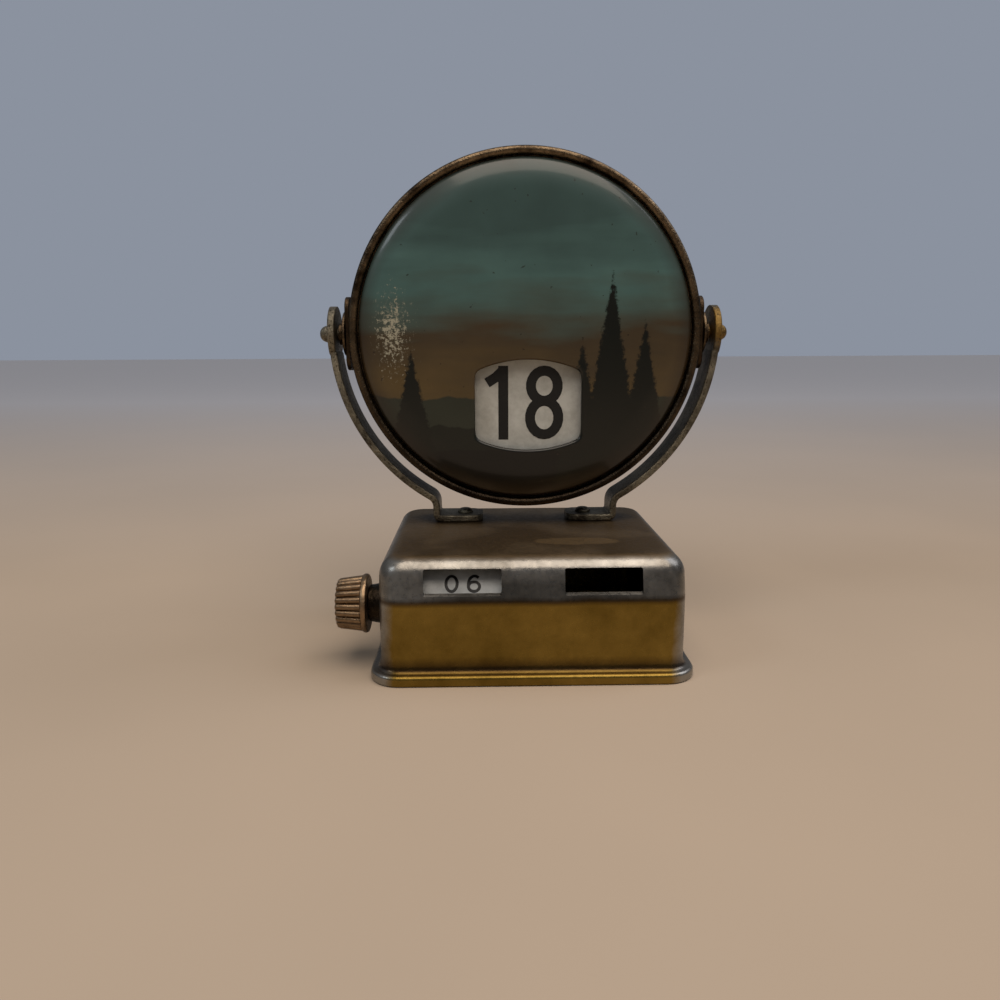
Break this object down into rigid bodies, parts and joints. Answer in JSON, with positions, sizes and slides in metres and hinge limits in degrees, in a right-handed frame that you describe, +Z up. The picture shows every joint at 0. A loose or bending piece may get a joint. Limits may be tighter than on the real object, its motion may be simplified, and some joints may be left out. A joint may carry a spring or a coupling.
{
  "type": "perpetual desk calendar",
  "caption": "Small metal desk calendar: a flip-over round case with sliding date plates hangs in a yoke on a base with a knob-turned month drum.",
  "frame": {"origin": "centre of the foot's outline, on the surface that the calendar stands on", "axes": "+Z up, +X to the right seen from the front, +Y towards the back: the month window faces -Y"},
  "size_m": [0.0714, 0.0446, 0.0824],
  "materials": {
    "plated_brass": "worn nickel-brass plating, satin",
    "tinned_steel": "bright rolled sheet",
    "spring_steel": "blued strip",
    "aged_nickel": "pitted nickel plating",
    "aged_brass": "tarnished brass",
    "knob_brass": "brown brass, nickel worn off the ribs",
    "printed_card": "printed card",
    "lacquered_picture": "lacquered printed sheet, glossy",
    "date_card": "off-white enamelled plate"
  },
  "bodies": {
    "base": {"base_shell": "plated_brass", "bottom_plate": "tinned_steel", "drum_bracket": "tinned_steel", "bracket_rivets": "tinned_steel", "friction_spring": "spring_steel", "spring_rivet": "tinned_steel", "wall_bush": "aged_brass", "left_arm": "aged_nickel", "right_arm": "aged_nickel", "foot_rivets": "aged_nickel", "pivot_screws": "aged_nickel"},
    "month": {"month_knob": "knob_brass", "month_axle": "spring_steel", "month_drum": "tinned_steel", "month_strip": "printed_card", "axle_collar": "aged_brass"},
    "case": {"case_hoop": "aged_brass", "front_cover": "lacquered_picture", "rear_cover": "lacquered_picture", "front_retaining_ring": "aged_brass", "rear_retaining_ring": "aged_brass", "left_pivot_plate": "spring_steel", "right_pivot_plate": "spring_steel", "pivot_bushes": "aged_brass", "friction_washers": "spring_steel", "left_plate_guide": "tinned_steel", "right_plate_guide": "tinned_steel", "upper_plate_stop": "tinned_steel", "lower_plate_stop": "tinned_steel"},
    "plates": {"date_plate_front": "date_card", "date_plate_stack": "date_card"}
  },
  "joints": [
    {"name": "case_flip", "type": "hinge", "parent": "base", "child": "case", "pos_m": [0, 0.0093, 0.0523], "axis": [1, 0, 0], "continuous": true},
    {"name": "month_turn", "type": "hinge", "parent": "base", "child": "month", "pos_m": [0, -0.0116, 0.0099], "axis": [1, 0, 0], "continuous": true},
    {"name": "plate_slide", "type": "slide", "parent": "case", "child": "plates", "axis": [0, 0, 1], "range_m": [0, 0.0244]}
  ]
}
